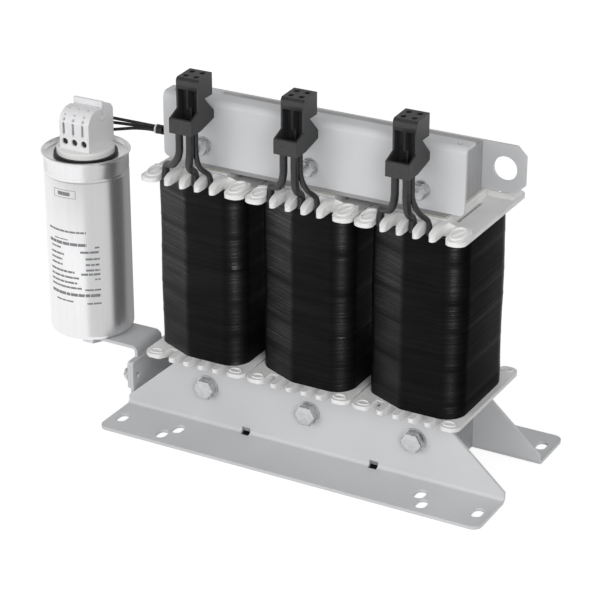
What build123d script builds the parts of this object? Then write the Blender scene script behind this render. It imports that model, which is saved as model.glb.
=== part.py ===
from build123d import *
from math import cos, pi, radians, sin, tan
import os

# Three-phase filter choke with its capacitor, built as on the bench: a laminated core with
# three coils on moulded bobbins, folded clamping brackets, terminal blocks and leads.
# X runs along the coils, Y to the rear, Z up. The origin is on the floor under the middle coil.

os.makedirs("parts", exist_ok=True)

# Core
coil_pitch = 100.0
leg_width = 40.0
stack_depth = 69.0
window_height = 180.0
lower_yoke_height = 58.0
upper_yoke_height = 42.0
gap_spacer_height = 2.5

# Sheet metal
sheet = 3.0
bend_radius = 3.0
foot_half_length = 182.0
foot_reach = 50.5
web_end_height = 10.0
web_slope_run = 57.0
foot_corner_radius = 8.0
notch_x = 62.0
notch_size = 8.0
slot_width = 9.5
slot_length = 15.0
outer_slot_x = 171.0
outer_slot_y = 65.0
inner_slot_x = 117.0
inner_slot_y = 60.0
second_slot_x = 125.0
second_slot_y = 74.0
end_plate_height = 37.5
end_plate_corner = 3.0

# Upper clamping plates
front_plate_half_length = 138.0
front_plate_drop = 37.0
front_plate_rise = 20.0
front_plate_flange = 17.0
front_plate_corner = 5.0
relief_hole_radius = 2.2
relief_hole_inset = 9.0
lifting_plate_half_length = 158.0
lifting_plate_height = 41.0
lifting_plate_corner = 8.0
eye_radius = 10.5
eye_inset = 18.0

# Fasteners
lower_bolt = 10.0
lower_bolt_drop = 22.5
lower_head_width = 17.0
lower_washer_width = 21.0
upper_bolt = 8.0
upper_head_width = 13.0
upper_washer_width = 16.0
bolt_clearance = 0.5
washer_sheet = 2.0
thread_end = 3.0
bolt_head_share = 0.64
nut_share = 0.8
head_chamfer_share = 0.1

# Bobbins and windings
fit_clearance = 0.3
tube_wall = 2.5
collar_height = 6.7
flange_thickness = 3.5
flange_half_width = 49.0
flange_reach = 63.0
comb_root = 39.2
comb_height = 9.0
comb_tip_height = 3.6
comb_crest = 5.0
comb_tip_slope = -0.9
comb_web = 0.4
comb_half_width = 46.0
comb_corner = 6.0
comb_slot_pitch = 14.4
comb_slot_width = 6.8
comb_slot_root = 46.5
comb_ramp_run = 7.0
comb_ramp_drop = 0.2
lobe_corner = 8.0
side_slot_width = 3.0
side_slot_length = 46.0
winding_half_width = 43.5
winding_side_reach = 50.6
winding_bow_reach = 52.2
winding_corner = 28.0
winding_lean = {"left": -2.5, "middle": -1.0, "right": 0.0}

# Terminal blocks, held on the front plate by their feet
terminal_places = {"left": -99.6, "middle": -2.5, "right": 96.6}
terminal_width = 21.0
terminal_depth = 24.0
terminal_rise = 44.0
terminal_edge = 2.0
terminal_top_fall = 1.0
terminal_step_rise = 26.0
terminal_back_step = 2.0
terminal_neck = 10.0
terminal_neck_rise = 12.0
terminal_chin_reach = 12.0
terminal_chin_height = 12.5
terminal_chin_land = 3.0
terminal_chin_slope = 5.0
terminal_foot_rise = 5.0
cavity_height = 16.0
cavity_floor = 3.0
cavity_depth = 8.5
cavity_wall = 1.6
cavity_rib = 2.2
trough_depth = 9.0
trough_overlap = 5.0
terminal_screw_radius = 2.1
terminal_screw_pitch = 9.6
terminal_screw_row = 9.5
terminal_screw_inset = 7.0
terminal_screw_depth = 5.0
terminal_screw_sink = 1.5
screw_slot_width = 0.8
screw_slot_depth = 1.0
screw_slot_turn = 25.0

# Coil leads: sizes, and where each kind leaves its terminal block, bends and enters the comb
lead_size = {"start": 6.4, "finish": 6.4, "tap": 4.6}
lead_slot = {"start": -2, "finish": 0, "tap": 1}
lead_entry_x = {"start": -4.0, "finish": 5.9, "tap": 7.6}
lead_entry_back = {"start": 5.0, "finish": 5.0, "tap": 11.2}
lead_bend_drop = {"start": 20.0, "finish": 18.0, "tap": 20.0}
lead_elbow_x = {"start": -13.0, "finish": 1.0, "tap": 9.4}
lead_elbow_back = {"start": 10.0, "finish": 11.0, "tap": 13.5}
lead_elbow_drop = {"start": 32.0, "finish": 33.0, "tap": 32.0}
lead_comb_rise = {"start": 10.5, "finish": 8.5, "tap": 8.5}
lead_bend_share = 0.45
lead_comb_gap = 0.8

# Capacitor leads
pole_rise = {"left": 6.8, "middle": 17.3, "right": 11.8}
capacitor_lead = 2.8
lead_hole_radius = 2.0
lead_hole_rise = 8.5
bundle_y = 28.0
bundle_rise = 15.5
bundle_radius = 2.0
bundle_drop = 1.0
bundle_gap = 0.2
bundle_run = 15.0
channel_y = -22.4
channel_pitch = 3.6
channel_gap = 0.1
channel_crest = 2.5
channel_climb = 18.0
channel_rest_x = -96.0
plate_run = 11.0
rise_x = -160.5
rise_pitch = 3.5
tie_x = -186.6
tie_width = 1.6
tie_sheet = 0.2
sleeve_length = 6.0
sleeve_radius = 4.1

# Capacitor and its bracket
capacitor_x = -243.0
capacitor_y = -0.5
can_radius = 37.5
can_height = 170.0
can_bottom_z = 50.5
can_rim_radius = 39.0
can_wall = 1.2
can_foot_radius = 5.0
can_groove_drop = 17.5
can_groove_height = 2.0
can_groove_depth = 0.8
rim_height = 4.0
rim_fall = 1.6
rim_crown = 0.6
rim_lip = 1.4
rim_lip_fall = 0.8
lid_drop = 4.0
seal_width = 2.6
disc_radius = 25.5
disc_rise = 3.2
disc_edge = 1.2
head_width = 30.4
head_depth = 39.0
head_offset_y = 2.7
head_front_height = 24.3
head_height = 35.0
head_shoulder = 14.0
head_shoulder_radius = 15.0
head_rear_run = 3.5
head_rear_fall = 5.0
head_pole_pitch = 9.7
entry_radius = 3.0
entry_rise = 7.0
entry_depth = 10.0
marker_groove_width = 2.4
marker_groove_length = 12.0
marker_groove_depth = 1.2
marker_groove_rise = 18.5
marker_offset = 1.0
probe_radius = 1.4
probe_depth = 4.0
probe_rows = (4.5, 11.2)
probe_rise = 26.8
lever_notch_width = 6.5
lever_notch_depth = 9.0
lever_notch_reach = 4.0
lever_notch_shift = 1.7
lever_inset = 14.9
lever_sheet = 2.6
lever_rise = 5.0
lever_drop = 6.0
lever_side_gap = 0.3
bracket_tab_width = 40.5
bracket_tab_y = -1.5
bracket_left_reach = 18.0
bracket_bottom_z = 14.0
bracket_shoulder_z = 40.5
bracket_bolt = 5.0
bracket_bolt_head = 9.0
bracket_washer_width = 14.0
bracket_bolt_end = 1.0
bracket_bolt_y = 28.0
bracket_bolt_z = 26.0
stud_radius = 6.0
stud_nut_width = 19.0
stud_nut_height = 10.0
stud_end = 2.0

# Places that follow from the sizes
half_stack = stack_depth / 2
web_face = half_stack + sheet
core_half_length = coil_pitch + leg_width / 2
core_bottom = sheet
window_bottom = core_bottom + lower_yoke_height
window_top = window_bottom + window_height
core_top = window_top + upper_yoke_height
window_middle = (window_bottom + window_top) / 2
lower_bolt_z = window_bottom - lower_bolt_drop
upper_bolt_z = (window_top + core_top) / 2
coils = {"left": -coil_pitch, "middle": 0.0, "right": coil_pitch}
clamp_points = list(coils.values())
tube_bottom = window_bottom + fit_clearance
tube_top = window_top - fit_clearance
flange_under = tube_top - collar_height - flange_thickness
flange_top = flange_under + flange_thickness
winding_bottom = window_bottom + window_top - flange_under
tube_inner_x = leg_width / 2 + fit_clearance
tube_inner_y = half_stack + fit_clearance
tube_outer_x = tube_inner_x + tube_wall
tube_outer_y = tube_inner_y + tube_wall
terminal_top = core_top + terminal_rise
terminal_step_z = core_top + terminal_step_rise
terminal_chin_top = core_top + terminal_chin_height
cavity_bottom = terminal_chin_top + cavity_floor
cavity_top = cavity_bottom + cavity_height
lead_hole_z = core_top + lead_hole_rise


def hexagon_radius(across_flats):
    """Corner radius of a hexagon from the width of its spanner."""
    return across_flats / 2 / cos(radians(30))


def lead_radii(points):
    """Tangent radius at each corner of a lead, from the shorter run beside it."""
    route = [Vector(*point) for point in points]
    radii = []
    for before, corner, after in zip(route, route[1:], route[2:]):
        turn = (corner - before).get_angle(after - corner)
        run = min((corner - before).length, (after - corner).length)
        radii.append(lead_bend_share * run / tan(radians(turn) / 2))
    return radii


def lead(points, diameter):
    """A round lead along straight runs joined by tangent arcs."""
    radii = lead_radii(points)
    with BuildPart() as cable:
        with BuildLine() as route:
            FilletPolyline(*points, radius=radii)
        with BuildSketch(Plane(route.line @ 0, z_dir=route.line % 0)):
            Circle(diameter / 2)
        sweep(path=route.wires()[0])
    expected = pi * diameter**2 / 4 * route.wires()[0].length
    print("lead radii", [round(r, 1) for r in radii], "volume ratio", round(cable.part.volume / expected, 4))
    return cable.part


def save(part, name):
    """Label a finished piece and write it to its file."""
    part.label = name
    export_step(part, f"parts/{name}.step")


# Core: E laminations with the lower yoke and three legs
with BuildPart() as core_e_stack:
    with BuildSketch(Plane.XZ):
        with Locations((0, core_bottom + lower_yoke_height / 2)):
            Rectangle(2 * core_half_length, lower_yoke_height)
        leg_height = window_height - gap_spacer_height
        with Locations(*[(x, window_bottom + leg_height / 2) for x in clamp_points]):
            Rectangle(leg_width, leg_height)
        with Locations(*[(x, lower_bolt_z) for x in clamp_points]):
            Circle(lower_bolt / 2 + bolt_clearance, mode=Mode.SUBTRACT)
    extrude(amount=half_stack, both=True)
save(core_e_stack.part, "core_e_stack")

# Core: I laminations across the top of the legs
with BuildPart() as core_i_yoke:
    with BuildSketch(Plane.XZ):
        with Locations((0, window_top + upper_yoke_height / 2)):
            Rectangle(2 * core_half_length, upper_yoke_height)
        with Locations(*[(x, upper_bolt_z) for x in clamp_points]):
            Circle(upper_bolt / 2 + bolt_clearance, mode=Mode.SUBTRACT)
    extrude(amount=half_stack, both=True)
save(core_i_yoke.part, "core_i_yoke")

# Insulating spacers that set the air gap at the head of each leg
with BuildPart() as air_gap_spacers:
    with BuildSketch(Plane.XY.offset(window_top - gap_spacer_height)):
        with Locations(*[(x, 0) for x in clamp_points]):
            Rectangle(leg_width, stack_depth)
    extrude(amount=gap_spacer_height)
save(air_gap_spacers.part, "air_gap_spacers")


def comb_plan(half_width, lobe_radius):
    """Plan of one end flange: four narrow fingers between two lobes, at the front and the rear."""
    finger_width = comb_slot_pitch - comb_slot_width
    lobe_inner = 2 * comb_slot_pitch + comb_slot_width / 2
    with BuildSketch() as plan:
        Rectangle(2 * half_width, 2 * comb_slot_root)
        with Locations(*[((place - 0.5) * comb_slot_pitch, 0) for place in range(-1, 3)]):
            SlotOverall(2 * flange_reach, finger_width, rotation=90)
        with Locations(*[(side * (lobe_inner + half_width) / 2, 0) for side in (-1, 1)]):
            RectangleRounded(half_width - lobe_inner, 2 * flange_reach, lobe_radius)
    return plan.sketch


raised_plan = comb_plan(comb_half_width, comb_corner)
flange_plan = comb_plan(flange_half_width, lobe_corner)

# Moulded bobbin: a square tube on the leg with a combed flange at each end
with BuildPart() as comb:
    with BuildSketch(Plane.YZ):
        with BuildLine():
            Polyline((flange_reach, comb_tip_height), (flange_reach, 0), (comb_root, 0), (comb_root, comb_height))
            Line((comb_root, comb_height), (comb_root + comb_crest, comb_height))
            Spline(
                (comb_root + comb_crest, comb_height),
                (flange_reach, comb_tip_height),
                tangents=[(1, 0), (1, comb_tip_slope)],
            )
        make_face()
    extrude(amount=comb_half_width, both=True)
    mirror(about=Plane.XZ)
    with BuildSketch(Plane.XY):
        add(raised_plan)
    extrude(amount=comb_height, mode=Mode.INTERSECT)

with BuildPart() as bobbin_end:
    with BuildSketch(Plane.XY):
        add(flange_plan)
        Rectangle(2 * tube_inner_x, 2 * tube_inner_y, mode=Mode.SUBTRACT)
    extrude(amount=flange_thickness)
    add(comb.part)
    ramp_start = comb_slot_root + fit_clearance / 3
    ramp_end = comb_slot_root - comb_ramp_run
    for slot in range(-2, 3):
        with BuildSketch(Plane.YZ.offset(slot * comb_slot_pitch)):
            for side in (-1, 1):
                with BuildLine():
                    Polyline(
                        (side * ramp_start, comb_web),
                        (side * ramp_start, 2 * comb_height),
                        (side * ramp_end, 2 * comb_height),
                        (side * ramp_end, comb_height - comb_ramp_drop),
                        close=True,
                    )
                make_face()
        extrude(amount=comb_slot_width / 2, both=True, mode=Mode.SUBTRACT)
    with BuildSketch(Plane.XY.offset(flange_thickness)):
        with Locations(*[(side * (tube_outer_x + side_slot_width), 0) for side in (-1, 1)]):
            Rectangle(side_slot_width, side_slot_length)
    extrude(amount=-flange_thickness, mode=Mode.SUBTRACT)

with BuildPart() as bobbin:
    with BuildSketch(Plane.XY.offset(tube_bottom)):
        Rectangle(2 * tube_outer_x, 2 * tube_outer_y)
        Rectangle(2 * tube_inner_x, 2 * tube_inner_y, mode=Mode.SUBTRACT)
    extrude(amount=tube_top - tube_bottom)
    with Locations((0, 0, flange_under)):
        add(bobbin_end.part)
    mirror(about=Plane.XY.offset(window_middle))

# Winding: tape-wrapped, with rounded corners and slightly bowed front and rear faces. Each one
# lies a little to one side of its tube, as it was wound.
with BuildSketch() as winding_outline:
    with BuildLine():
        ThreePointArc(
            (-winding_half_width, winding_side_reach),
            (0, winding_bow_reach),
            (winding_half_width, winding_side_reach),
        )
        Line((winding_half_width, winding_side_reach), (winding_half_width, -winding_side_reach))
        ThreePointArc(
            (winding_half_width, -winding_side_reach),
            (0, -winding_bow_reach),
            (-winding_half_width, -winding_side_reach),
        )
        Line((-winding_half_width, -winding_side_reach), (-winding_half_width, winding_side_reach))
    make_face()
    fillet(winding_outline.vertices(), winding_corner)

for name, x in coils.items():
    with BuildPart() as winding:
        with BuildSketch(Plane.XY.offset(winding_bottom)):
            with Locations((winding_lean[name], 0)):
                add(winding_outline.sketch)
            Rectangle(2 * tube_outer_x, 2 * tube_outer_y, mode=Mode.SUBTRACT)
        extrude(amount=flange_under - winding_bottom)
    save(Pos(x, 0, 0) * bobbin.part, f"bobbin_{name}")
    save(Pos(x, 0, 0) * winding.part, f"winding_{name}")

# Foot brackets: sheet folded to a web against the lower yoke and a flange on the floor
web_top = window_bottom
with BuildPart() as front_foot_bracket:
    with BuildSketch(Plane.YZ):
        with BuildLine():
            FilletPolyline(
                (-web_face - foot_reach, sheet / 2),
                (-web_face + sheet / 2, sheet / 2),
                (-web_face + sheet / 2, web_top),
                radius=bend_radius + sheet / 2,
            )
        trace(line_width=sheet)
    extrude(amount=foot_half_length, both=True)
    with BuildSketch(Plane.XZ.offset(half_stack)):
        for side in (-1, 1):
            with BuildLine():
                Polyline(
                    (side * foot_half_length, web_end_height),
                    (side * (foot_half_length - web_slope_run), web_top),
                    (side * (foot_half_length - web_slope_run), web_top + sheet),
                    (side * (foot_half_length + sheet), web_top + sheet),
                    (side * (foot_half_length + sheet), web_end_height),
                    close=True,
                )
            make_face()
    extrude(amount=sheet + bend_radius, mode=Mode.SUBTRACT)
    with BuildSketch(Plane.XZ.offset(half_stack)):
        with Locations(*[(x, lower_bolt_z) for x in clamp_points]):
            Circle(lower_bolt / 2 + bolt_clearance)
    extrude(amount=sheet, mode=Mode.SUBTRACT)
    with BuildSketch(Plane.XY):
        with Locations(*[(side * notch_x, -web_face) for side in (-1, 1)]):
            Rectangle(notch_size, notch_size)
        for side in (-1, 1):
            for x, y in (
                (outer_slot_x, outer_slot_y),
                (inner_slot_x, inner_slot_y),
                (second_slot_x, second_slot_y),
            ):
                with Locations((side * x, -y)):
                    SlotOverall(slot_length, slot_width, rotation=90)
    extrude(amount=notch_size, mode=Mode.SUBTRACT)
    outer_corners = front_foot_bracket.edges().filter_by(Axis.Z).group_by(Axis.Y)[0]
    fillet(outer_corners, foot_corner_radius)
save(front_foot_bracket.part, "front_foot_bracket")

with BuildPart() as rear_foot_bracket:
    add(front_foot_bracket.part)
    mirror(about=Plane.XZ, mode=Mode.REPLACE)
save(rear_foot_bracket.part, "rear_foot_bracket")

# End plate welded between the two webs, which carries the capacitor bracket
bracket_bolts = [(side * bracket_bolt_y, bracket_bolt_z) for side in (-1, 1)]
end_plate_outer = -foot_half_length
with BuildPart() as left_end_plate:
    with BuildSketch(Plane.YZ.offset(end_plate_outer)) as end_plate_face:
        with Locations((0, sheet + end_plate_height / 2)):
            Rectangle(stack_depth, end_plate_height)
        fillet(end_plate_face.vertices().group_by(Axis.Y)[-1], end_plate_corner)
        with Locations(*bracket_bolts):
            Circle(bracket_bolt / 2, mode=Mode.SUBTRACT)
    extrude(amount=sheet)
save(left_end_plate.part, "left_end_plate")

# Upper front plate: folded over at the top, with the terminal blocks seated on its face
front_plate_bottom = core_top - front_plate_drop
front_plate_top = core_top + front_plate_rise
with BuildPart() as upper_front_plate:
    with BuildSketch(Plane.YZ):
        with BuildLine():
            FilletPolyline(
                (-half_stack - sheet / 2, front_plate_bottom),
                (-half_stack - sheet / 2, front_plate_top - sheet / 2),
                (-web_face + front_plate_flange, front_plate_top - sheet / 2),
                radius=bend_radius + sheet / 2,
            )
        trace(line_width=sheet)
    extrude(amount=front_plate_half_length, both=True)
    with BuildSketch(Plane.XZ.offset(half_stack)):
        with Locations(*[(x, upper_bolt_z) for x in clamp_points]):
            Circle(upper_bolt / 2 + bolt_clearance)
        with Locations(*[(x, lead_hole_z) for x in terminal_places.values()]):
            Circle(lead_hole_radius)
    extrude(amount=sheet, mode=Mode.SUBTRACT)
    with BuildSketch(Plane.XY.offset(front_plate_top - sheet)):
        relief_y = -web_face + front_plate_flange - relief_hole_inset
        with Locations(*[(side * (front_plate_half_length - relief_hole_inset), relief_y) for side in (-1, 1)]):
            Circle(relief_hole_radius)
    extrude(amount=sheet, mode=Mode.SUBTRACT)
    lower_corners = upper_front_plate.edges().filter_by(Axis.Y).group_by(Axis.Z)[0]
    fillet(lower_corners, front_plate_corner)
save(upper_front_plate.part, "upper_front_plate")

# Rear plate with a lifting eye at each end
eye_x = lifting_plate_half_length - eye_inset
with BuildPart() as lifting_plate:
    with BuildSketch(Plane.XZ.offset(-web_face)) as lifting_face:
        with Locations((0, core_top - lifting_plate_height / 2)):
            Rectangle(2 * lifting_plate_half_length, lifting_plate_height)
        chamfer(lifting_face.vertices(), lifting_plate_corner)
        with Locations(*[(side * eye_x, upper_bolt_z) for side in (-1, 1)]):
            Circle(eye_radius, mode=Mode.SUBTRACT)
        with Locations(*[(x, upper_bolt_z) for x in clamp_points]):
            Circle(upper_bolt / 2 + bolt_clearance, mode=Mode.SUBTRACT)
    extrude(amount=sheet)
save(lifting_plate.part, "lifting_plate")


def clamp_set(prefix, diameter, head_width, washer_width, z):
    """Through bolts of one yoke with a washer at each face and a nut behind."""
    head = bolt_head_share * diameter
    nut = nut_share * diameter
    rear_end = web_face + washer_sheet + nut + thread_end
    places = [(x, z) for x in clamp_points]
    with BuildPart() as bolts:
        with BuildSketch(Plane.XZ.offset(web_face + washer_sheet)):
            with Locations(*places):
                RegularPolygon(hexagon_radius(head_width), 6)
        extrude(amount=head)
        chamfer(bolts.faces().sort_by(Axis.Y)[0:3].edges(), head_chamfer_share * head)
        with BuildSketch(Plane.XZ.offset(-rear_end)):
            with Locations(*places):
                Circle(diameter / 2)
        extrude(amount=rear_end + web_face + washer_sheet)
    with BuildPart() as washers:
        for start in (web_face, -web_face - washer_sheet):
            with BuildSketch(Plane.XZ.offset(start)):
                with Locations(*places):
                    Circle(washer_width / 2)
                    Circle(diameter / 2 + bolt_clearance / 2, mode=Mode.SUBTRACT)
            extrude(amount=washer_sheet)
    with BuildPart() as nuts:
        with BuildSketch(Plane.XZ.offset(-web_face - washer_sheet - nut)):
            with Locations(*places):
                RegularPolygon(hexagon_radius(head_width), 6)
                Circle(diameter / 2, mode=Mode.SUBTRACT)
        extrude(amount=nut)
    save(bolts.part, f"{prefix}_clamp_bolts")
    save(washers.part, f"{prefix}_clamp_washers")
    save(nuts.part, f"{prefix}_clamp_nuts")


clamp_set("lower", lower_bolt, lower_head_width, lower_washer_width, lower_bolt_z)
clamp_set("upper", upper_bolt, upper_head_width, upper_washer_width, upper_bolt_z)

# Terminal block: two wire cavities over a projecting chin, a narrow neck and a foot on the plate
terminal_front = -web_face - terminal_depth
chin_front = terminal_front - terminal_chin_reach
terminal_back = -web_face - terminal_back_step
with BuildPart() as terminal_block:
    with BuildSketch(Plane.YZ):
        with BuildLine():
            Polyline(
                (-web_face, core_top + terminal_foot_rise),
                (-web_face, core_top + terminal_neck_rise),
                (terminal_front + terminal_neck, terminal_step_z),
                (terminal_back, terminal_step_z),
                (terminal_back, terminal_top + terminal_top_fall),
                (terminal_front + terminal_edge, terminal_top),
                (terminal_front, terminal_top - terminal_edge),
                (terminal_front, terminal_chin_top + terminal_chin_slope),
                (chin_front, terminal_chin_top),
                (chin_front, core_top),
                (terminal_front + terminal_chin_land, core_top),
                close=True,
            )
        make_face()
    extrude(amount=terminal_width / 2, both=True)
    cavity_width = (terminal_width - 2 * cavity_wall - cavity_rib) / 2
    cavity_x = (cavity_width + cavity_rib) / 2
    with BuildSketch(Plane.XZ.offset(-terminal_front)):
        with Locations(*[(side * cavity_x, (cavity_bottom + cavity_top) / 2) for side in (-1, 1)]):
            Rectangle(cavity_width, cavity_height)
    extrude(amount=-cavity_depth, mode=Mode.SUBTRACT)
    with BuildSketch(Plane.XY.offset(cavity_bottom + cavity_floor)):
        trough_length = terminal_chin_reach + trough_overlap - cavity_wall
        with Locations((0, terminal_front + trough_overlap - trough_length / 2)):
            Rectangle(terminal_width - 2 * cavity_wall, trough_length)
    extrude(amount=-trough_depth, mode=Mode.SUBTRACT)
    screw_places = []
    for column in (-1, 1):
        for row in (0, 1):
            screw_y = terminal_front + terminal_screw_inset + row * terminal_screw_row
            screw_places.append((column * terminal_screw_pitch / 2, screw_y))
    with BuildSketch(Plane.XY.offset(terminal_top + terminal_top_fall)):
        with Locations(*screw_places):
            Circle(terminal_screw_radius + fit_clearance)
    extrude(amount=-terminal_screw_depth - terminal_top_fall, mode=Mode.SUBTRACT)

all_screws = [(x + column, row) for x in terminal_places.values() for column, row in screw_places]
screw_top = terminal_top - terminal_screw_sink
with BuildPart() as terminal_screws:
    with BuildSketch(Plane.XY.offset(terminal_top - terminal_screw_depth)):
        with Locations(*all_screws):
            Circle(terminal_screw_radius)
    extrude(amount=terminal_screw_depth - terminal_screw_sink)
    with BuildSketch(Plane.XY.offset(screw_top)):
        with Locations(*all_screws):
            Rectangle(3 * terminal_screw_radius, screw_slot_width, rotation=screw_slot_turn)
    extrude(amount=-screw_slot_depth, mode=Mode.SUBTRACT)
save(terminal_screws.part, "terminal_screws")

for name, x in terminal_places.items():
    save(Pos(x, 0, 0) * terminal_block.part, f"terminal_block_{name}")

# Coil leads: from under the chin of each terminal block down through the comb to the winding.
# The upper points are set off from the terminal block, the lower ones from the coil.
comb_y = -comb_slot_root - max(lead_size.values()) / 2 - lead_comb_gap
for name, x in coils.items():
    for kind, diameter in lead_size.items():
        entry_x = terminal_places[name] + lead_entry_x[kind]
        entry_y = chin_front + lead_entry_back[kind]
        slot_x = x + lead_slot[kind] * comb_slot_pitch
        points = [
            (entry_x, entry_y, core_top),
            (entry_x, entry_y, core_top - lead_bend_drop[kind]),
            (x + lead_elbow_x[kind], chin_front + lead_elbow_back[kind], core_top - lead_elbow_drop[kind]),
            (slot_x, comb_y, flange_top + lead_comb_rise[kind]),
            (slot_x, comb_y, flange_under),
        ]
        save(lead(points, diameter), f"coil_{kind}_lead_{name}")

# Capacitor: drawn can with a rolled rim, filled and sealed
can_top = can_bottom_z + can_height
can_groove_z = can_top - can_groove_drop
can_plane = Plane(origin=(capacitor_x, capacitor_y, 0))
section_plane = Plane(origin=(capacitor_x, capacitor_y, 0), x_dir=(1, 0, 0), z_dir=(0, -1, 0))
can_axis = Axis((capacitor_x, capacitor_y, 0), (0, 0, 1))
lid_z = can_top - lid_drop
quarter_turn = 1 - sin(radians(45))
with BuildPart() as capacitor_can:
    with BuildSketch(section_plane):
        with BuildLine():
            Polyline(
                (0, can_bottom_z),
                (can_radius - can_foot_radius, can_bottom_z),
            )
            ThreePointArc(
                (can_radius - can_foot_radius, can_bottom_z),
                (can_radius - quarter_turn * can_foot_radius, can_bottom_z + quarter_turn * can_foot_radius),
                (can_radius, can_bottom_z + can_foot_radius),
            )
            Line((can_radius, can_bottom_z + can_foot_radius), (can_radius, can_groove_z - can_groove_height))
            ThreePointArc(
                (can_radius, can_groove_z - can_groove_height),
                (can_radius - can_groove_depth, can_groove_z),
                (can_radius, can_groove_z + can_groove_height),
            )
            Polyline(
                (can_radius, can_groove_z + can_groove_height),
                (can_radius, can_top - rim_height),
                (can_rim_radius, can_top - rim_fall),
            )
            ThreePointArc(
                (can_rim_radius, can_top - rim_fall),
                (can_rim_radius - rim_crown, can_top),
                (can_rim_radius - rim_lip, can_top - rim_lip_fall),
            )
            Polyline(
                (can_rim_radius - rim_lip, can_top - rim_lip_fall),
                (can_radius - can_wall, lid_z),
                (0, lid_z),
                (0, can_bottom_z),
            )
        make_face()
    revolve(axis=can_axis)
save(capacitor_can.part, "capacitor_can")

# Black sealing ring on the lid, round the terminal base
with BuildPart() as capacitor_seal:
    with BuildSketch(can_plane.offset(lid_z)):
        Circle(disc_radius + seal_width)
        Circle(disc_radius, mode=Mode.SUBTRACT)
    extrude(amount=lid_drop / 2)
save(capacitor_seal.part, "capacitor_seal")

disc_top = can_top + disc_rise
with BuildPart() as terminal_base_disc:
    with BuildSketch(can_plane.offset(lid_z)):
        Circle(disc_radius)
    extrude(amount=disc_top - lid_z)
    fillet(terminal_base_disc.edges().group_by(Axis.Z)[-1], disc_edge)
save(terminal_base_disc.part, "terminal_base_disc")

# Three-pole terminal head on the capacitor
head_center_y = capacitor_y + head_offset_y
head_front = head_center_y - head_depth / 2
head_rear = head_center_y + head_depth / 2
head_top = disc_top + head_height
lever_y = head_rear - lever_inset
pole_places = [capacitor_x + pole * head_pole_pitch for pole in (-1, 0, 1)]
marker_places = [x - marker_offset for x in pole_places]
with BuildPart() as capacitor_terminal_head:
    with BuildSketch(Plane.YZ.offset(capacitor_x)):
        with BuildLine():
            Polyline(
                (head_front + head_shoulder, head_top),
                (head_rear - head_rear_run, head_top),
                (head_rear, head_top - head_rear_fall),
                (head_rear, disc_top),
                (head_front, disc_top),
                (head_front, disc_top + head_front_height),
            )
            RadiusArc(
                (head_front, disc_top + head_front_height),
                (head_front + head_shoulder, head_top),
                head_shoulder_radius,
            )
        make_face()
    extrude(amount=head_width / 2, both=True)
    for side in (-1, 1):
        with BuildSketch(Plane.YZ.offset(capacitor_x + side * head_width / 2)):
            with Locations((lever_y - lever_notch_shift, head_top)):
                SlotOverall(2 * lever_notch_depth + lever_notch_width, lever_notch_width, rotation=90)
        extrude(amount=-side * lever_notch_reach, mode=Mode.SUBTRACT)
    with BuildSketch(Plane.XZ.offset(-lever_y)):
        with Locations((capacitor_x, head_top + (lever_rise - lever_drop) / 2)):
            Rectangle(head_width - 2 * lever_side_gap, lever_rise + lever_drop)
    extrude(amount=lever_sheet / 2, both=True)
    with BuildSketch(Plane.XZ.offset(-head_front)):
        with Locations(*[(x, disc_top + entry_rise) for x in pole_places]):
            Circle(entry_radius)
    extrude(amount=-entry_depth, mode=Mode.SUBTRACT)
    with BuildSketch(Plane.XZ.offset(-head_front)):
        with Locations(*[(x, disc_top + marker_groove_rise) for x in marker_places]):
            SlotOverall(marker_groove_length, marker_groove_width, rotation=90)
    extrude(amount=-marker_groove_depth, mode=Mode.SUBTRACT)
    with BuildSketch(Plane.XZ.offset(-head_front)):
        with Locations(*[(x, disc_top + probe_rise) for x in marker_places]):
            Circle(probe_radius)
    extrude(amount=-probe_depth, mode=Mode.SUBTRACT)
    with BuildSketch(Plane.XY.offset(head_top)):
        with Locations(*[(x, head_front + row) for x in marker_places for row in probe_rows]):
            Circle(probe_radius)
    extrude(amount=-2 * probe_depth, mode=Mode.SUBTRACT)
save(capacitor_terminal_head.part, "capacitor_terminal_head")

# Capacitor bracket: a tab under the can folded down into a wide flange bolted to the end plate
bracket_web = end_plate_outer - sheet / 2
with BuildPart() as capacitor_bracket:
    with BuildSketch(Plane.XZ.offset(-bracket_tab_y)):
        with BuildLine():
            FilletPolyline(
                (capacitor_x - bracket_left_reach, can_bottom_z - sheet / 2),
                (bracket_web, can_bottom_z - sheet / 2),
                (bracket_web, bracket_shoulder_z),
                radius=bend_radius + sheet / 2,
            )
        trace(line_width=sheet)
    extrude(amount=bracket_tab_width / 2, both=True)
    end_corners = capacitor_bracket.edges().filter_by(Axis.Z).group_by(Axis.X)[0]
    fillet(end_corners, foot_corner_radius)
    with BuildSketch(Plane.YZ.offset(end_plate_outer - sheet)):
        with Locations((0, (bracket_bottom_z + bracket_shoulder_z) / 2)):
            RectangleRounded(stack_depth, bracket_shoulder_z - bracket_bottom_z, end_plate_corner)
    extrude(amount=sheet)
    with BuildSketch(Plane.XY.offset(can_bottom_z - sheet)):
        with Locations((capacitor_x, capacitor_y)):
            Circle(stud_radius + bolt_clearance)
    extrude(amount=sheet, mode=Mode.SUBTRACT)
    with BuildSketch(Plane.YZ.offset(end_plate_outer - sheet)):
        with Locations(*bracket_bolts):
            Circle(bracket_bolt / 2 + bolt_clearance)
    extrude(amount=sheet, mode=Mode.SUBTRACT)
save(capacitor_bracket.part, "capacitor_bracket")

# Stud, washer and nut that hold the can on its bracket
bracket_under = can_bottom_z - sheet
with BuildPart() as capacitor_stud:
    with BuildSketch(can_plane.offset(can_bottom_z)):
        Circle(stud_radius)
    extrude(amount=-sheet - washer_sheet - stud_nut_height - stud_end)
save(capacitor_stud.part, "capacitor_stud")

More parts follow.
